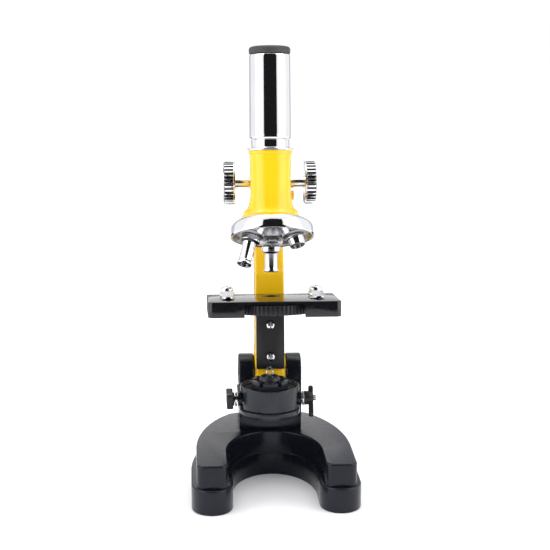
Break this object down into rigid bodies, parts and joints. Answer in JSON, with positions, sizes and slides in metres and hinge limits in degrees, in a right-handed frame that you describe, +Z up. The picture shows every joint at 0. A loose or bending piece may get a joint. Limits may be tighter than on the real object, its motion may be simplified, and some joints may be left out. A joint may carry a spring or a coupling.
{
  "type": "kids microscope",
  "caption": "Upright toy microscope: horseshoe base with a tilting lamp, inclining arm, stage with clips, rack focus, zoom eyepiece and turning objective turret.",
  "frame": {"origin": "middle of the base's underside, on the surface that it stands on", "axes": "+Z up, -Y the front, where the horseshoe's toes and the stage point, +X the user's right when they face the front"},
  "size_m": [0.083, 0.097, 0.2216],
  "materials": {
    "base_paint": "satin slate-black spray paint",
    "plate_plastic": "matt black",
    "yellow_paint": "glossy warm yellow enamel",
    "black_paint": "glossy black enamel",
    "black_plastic": "satin black",
    "slate_plastic": "satin slate grey",
    "eyecup_rubber": "matt charcoal",
    "chrome_plate": "mirror-bright plating",
    "bright_steel": "bright zinc-plated steel",
    "gear_brass": "machined brass",
    "clear_glass": "polished clear glass",
    "battery_wrap": "plain printed-film cell wrap, no mark"
  },
  "bodies": {
    "base": {"base_shell": "base_paint", "bottom_plate": "plate_plastic", "base_screw_1": "bright_steel", "base_screw_2": "bright_steel", "base_screw_3": "bright_steel", "battery_left": "battery_wrap", "battery_right": "battery_wrap", "contact_plate_left": "bright_steel", "contact_plate_right": "bright_steel", "contact_spring_left": "bright_steel", "contact_spring_right": "bright_steel", "pivot_bolt": "bright_steel", "pivot_nut": "bright_steel"},
    "arm": {"arm": "yellow_paint", "stage": "black_paint", "stage_screw_1": "bright_steel", "stage_screw_2": "bright_steel", "wheel_screw": "bright_steel", "clip_screw_left": "chrome_plate", "clip_screw_right": "chrome_plate", "clip_spacer_left": "chrome_plate", "clip_spacer_right": "chrome_plate"},
    "filter_wheel": {"filter_wheel": "black_plastic"},
    "clip_left": {"clip_left": "bright_steel"},
    "clip_right": {"clip_right": "bright_steel"},
    "focus_drive": {"focus_shaft": "bright_steel", "focus_pinion": "gear_brass", "focus_knob_left": "chrome_plate", "focus_knob_right": "chrome_plate"},
    "tube": {"body_tube": "yellow_paint", "focus_rack": "gear_brass", "draw_tube": "chrome_plate", "nosepiece_seat": "chrome_plate"},
    "eyepiece": {"eyepiece_barrel": "chrome_plate", "eyecup": "eyecup_rubber", "eye_lens": "clear_glass", "eye_lens_ring": "black_plastic", "field_lens": "clear_glass", "field_stop": "black_plastic"},
    "turret": {"turret": "chrome_plate", "turret_screw": "bright_steel", "objective_long": "chrome_plate", "objective_medium": "chrome_plate", "objective_short": "chrome_plate", "objective_lens_long": "clear_glass", "objective_lens_medium": "clear_glass", "objective_lens_short": "clear_glass"},
    "lamp": {"lamp_housing": "slate_plastic", "lamp_lower_cover": "slate_plastic", "lamp_collar": "slate_plastic", "bulb_holder": "slate_plastic", "bulb_base": "gear_brass", "lamp_bulb": "clear_glass", "lamp_stud": "bright_steel", "stud_washer": "bright_steel"},
    "thumb_screw": {"lamp_thumb_screw": "black_plastic", "thumb_washer": "bright_steel"},
    "wing_nut": {"lamp_wing_nut": "black_plastic"}
  },
  "joints": [
    {"name": "arm_incline", "type": "hinge", "parent": "base", "child": "arm", "pos_m": [0, 0.024, 0.0515], "axis": [-1, 0, 0], "range_deg": [-7, 45]},
    {"name": "focus", "type": "slide", "parent": "arm", "child": "tube", "axis": [0, 0.1219, 0.9925], "range_m": [-0.006, 0.009]},
    {"name": "focus_knobs", "type": "hinge", "parent": "arm", "child": "focus_drive", "pos_m": [0, 0.03335, 0.1506], "axis": [-1, 0, 0], "range_deg": [-90, 135]},
    {"name": "turret_turn", "type": "hinge", "parent": "tube", "child": "turret", "pos_m": [0, -0.00238, 0.12811], "axis": [0, 0.4067, 0.9135], "continuous": true},
    {"name": "zoom", "type": "slide", "parent": "tube", "child": "eyepiece", "axis": [0, 0.1219, 0.9925], "range_m": [0, 0.012]},
    {"name": "filter_wheel_turn", "type": "hinge", "parent": "arm", "child": "filter_wheel", "pos_m": [0, -0.00641, 0.09352], "axis": [0, 0.1219, 0.9925], "continuous": true},
    {"name": "clip_left_swing", "type": "hinge", "parent": "arm", "child": "clip_left", "pos_m": [-0.0224, 0.00566, 0.09909], "axis": [0, 0.1219, 0.9925], "range_deg": [-40, 40]},
    {"name": "clip_right_swing", "type": "hinge", "parent": "arm", "child": "clip_right", "pos_m": [0.0224, 0.00566, 0.09909], "axis": [0, 0.1219, 0.9925], "range_deg": [-40, 40]},
    {"name": "lamp_tilt", "type": "hinge", "parent": "base", "child": "lamp", "pos_m": [-0.0014, -0.003, 0.0454], "axis": [1, 0, 0], "range_deg": [-15, 15]},
    {"name": "thumb_screw_turn", "type": "hinge", "parent": "lamp", "child": "thumb_screw", "pos_m": [-0.0014, -0.003, 0.0454], "axis": [1, 0, 0], "range_deg": [-180, 180]},
    {"name": "wing_nut_turn", "type": "hinge", "parent": "lamp", "child": "wing_nut", "pos_m": [-0.0014, -0.003, 0.0454], "axis": [1, 0, 0], "range_deg": [-180, 180]}
  ],
  "couplings": [
    {"joint": "focus_knobs", "follows": "focus", "rad_per_m": 250}
  ]
}
